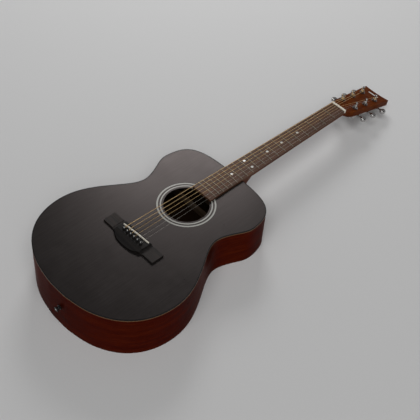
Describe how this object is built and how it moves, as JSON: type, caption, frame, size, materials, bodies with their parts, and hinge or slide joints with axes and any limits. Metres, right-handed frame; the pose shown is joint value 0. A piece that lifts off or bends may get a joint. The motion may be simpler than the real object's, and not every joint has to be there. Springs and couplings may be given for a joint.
{
  "type": "acoustic guitar",
  "caption": "Steel-string acoustic guitar with a hollow waisted body, round soundhole, pinned bridge, slanted headstock and geared tuners that turn.",
  "frame": {"origin": "on the outer face of the flat back, on the centre line, 600 mm from the nut along the soundboard; the guitar lies on its back", "axes": "+Z out of the back, up through the body; +Y from the body to the headstock; +X to the treble (thin string) side"},
  "size_m": [0.3768, 1.0158, 0.1189],
  "materials": {
    "soundboard": "black gloss lacquer over spruce",
    "rosette": "pale inlaid rings under gloss lacquer",
    "binding": "black edge binding, gloss",
    "purfling": "cream edge strip, gloss",
    "sides": "dark red-brown mahogany, gloss",
    "back": "dark red-brown mahogany, gloss",
    "bare_wood": "unfinished spruce and lime",
    "neck": "orange-brown mahogany, satin",
    "fretboard": "dark brown rosewood, oiled",
    "bridge": "dark rosewood, worn",
    "fret_wire": "polished nickel silver",
    "pearl": "pearl dots and inlay",
    "bone": "smooth off-white nut and saddle",
    "black_plastic": "black moulded plastic",
    "chrome": "bright plated tuners",
    "steel_rod": "plain steel",
    "bronze_wire": "bronze-wound strings",
    "steel_wire": "plain steel strings"
  },
  "bodies": {
    "guitar": {"soundboard": "soundboard", "rosette": "rosette", "top_binding": "binding", "edge_purfling": "purfling", "side_treble": "sides", "side_bass": "sides", "back": "back", "top_linings": "bare_wood", "back_linings": "bare_wood", "neck_block": "bare_wood", "tail_block": "bare_wood", "x_braces": "bare_wood", "tone_bars": "bare_wood", "finger_braces": "bare_wood", "transverse_brace": "bare_wood", "bridge_plate": "bare_wood", "back_braces": "bare_wood", "back_strip": "bare_wood", "neck": "neck", "truss_rod": "steel_rod", "fretboard": "fretboard", "frets": "fret_wire", "position_dots": "pearl", "nut": "bone", "headstock_inlay": "pearl", "bridge": "bridge", "saddle": "bone", "bridge_pins": "black_plastic", "bridge_pin_dots": "pearl", "tuner_housings": "chrome", "tuner_bushings": "chrome", "tuner_washers": "chrome", "tuner_screws": "chrome", "strap_button": "black_plastic", "strap_button_dot": "pearl", "string_1": "steel_wire", "string_2": "steel_wire", "string_3": "bronze_wire", "string_4": "bronze_wire", "string_5": "bronze_wire", "string_6": "bronze_wire"},
    "truss_nut": {"truss_rod_nut": "steel_rod"},
    "post_1": {"tuner_post_1": "chrome", "string_winding_1": "steel_wire"},
    "key_1": {"tuner_key_1": "chrome"},
    "post_2": {"tuner_post_2": "chrome", "string_winding_2": "steel_wire"},
    "key_2": {"tuner_key_2": "chrome"},
    "post_3": {"tuner_post_3": "chrome", "string_winding_3": "bronze_wire"},
    "key_3": {"tuner_key_3": "chrome"},
    "post_4": {"tuner_post_4": "chrome", "string_winding_4": "bronze_wire"},
    "key_4": {"tuner_key_4": "chrome"},
    "post_5": {"tuner_post_5": "chrome", "string_winding_5": "bronze_wire"},
    "key_5": {"tuner_key_5": "chrome"},
    "post_6": {"tuner_post_6": "chrome", "string_winding_6": "bronze_wire"},
    "key_6": {"tuner_key_6": "chrome"}
  },
  "joints": [
    {"name": "truss_nut_turn", "type": "hinge", "parent": "guitar", "child": "truss_nut", "pos_m": [0, 0.1733, 0.08816], "axis": [0, -0.9989, 0.0466], "range_deg": [-180, 180]},
    {"name": "key_turn_1", "type": "hinge", "parent": "guitar", "child": "key_1", "pos_m": [0.02, 0.65236, 0.0445], "axis": [1, 0, 0], "continuous": true},
    {"name": "post_turn_1", "type": "hinge", "parent": "guitar", "child": "post_1", "pos_m": [0.02, 0.64817, 0.06437], "axis": [0, 0.2702, 0.9628], "continuous": true},
    {"name": "key_turn_2", "type": "hinge", "parent": "guitar", "child": "key_2", "pos_m": [0.02, 0.69183, 0.03343], "axis": [1, 0, 0], "continuous": true},
    {"name": "post_turn_2", "type": "hinge", "parent": "guitar", "child": "post_2", "pos_m": [0.02, 0.68765, 0.0533], "axis": [0, 0.2702, 0.9628], "continuous": true},
    {"name": "key_turn_3", "type": "hinge", "parent": "guitar", "child": "key_3", "pos_m": [0.02, 0.73131, 0.02235], "axis": [1, 0, 0], "continuous": true},
    {"name": "post_turn_3", "type": "hinge", "parent": "guitar", "child": "post_3", "pos_m": [0.02, 0.72712, 0.04222], "axis": [0, 0.2702, 0.9628], "continuous": true},
    {"name": "key_turn_4", "type": "hinge", "parent": "guitar", "child": "key_4", "pos_m": [-0.02, 0.73131, 0.02235], "axis": [-1, 0, 0], "continuous": true},
    {"name": "post_turn_4", "type": "hinge", "parent": "guitar", "child": "post_4", "pos_m": [-0.02, 0.72712, 0.04222], "axis": [0, 0.2702, 0.9628], "continuous": true},
    {"name": "key_turn_5", "type": "hinge", "parent": "guitar", "child": "key_5", "pos_m": [-0.02, 0.69183, 0.03343], "axis": [-1, 0, 0], "continuous": true},
    {"name": "post_turn_5", "type": "hinge", "parent": "guitar", "child": "post_5", "pos_m": [-0.02, 0.68765, 0.0533], "axis": [0, 0.2702, 0.9628], "continuous": true},
    {"name": "key_turn_6", "type": "hinge", "parent": "guitar", "child": "key_6", "pos_m": [-0.02, 0.65236, 0.0445], "axis": [-1, 0, 0], "continuous": true},
    {"name": "post_turn_6", "type": "hinge", "parent": "guitar", "child": "post_6", "pos_m": [-0.02, 0.64817, 0.06437], "axis": [0, 0.2702, 0.9628], "continuous": true}
  ],
  "couplings": [
    {"joint": "post_turn_1", "follows": "key_turn_1", "ratio": 0.071429},
    {"joint": "post_turn_2", "follows": "key_turn_2", "ratio": 0.071429},
    {"joint": "post_turn_3", "follows": "key_turn_3", "ratio": 0.071429},
    {"joint": "post_turn_4", "follows": "key_turn_4", "ratio": 0.071429},
    {"joint": "post_turn_5", "follows": "key_turn_5", "ratio": 0.071429},
    {"joint": "post_turn_6", "follows": "key_turn_6", "ratio": 0.071429}
  ]
}
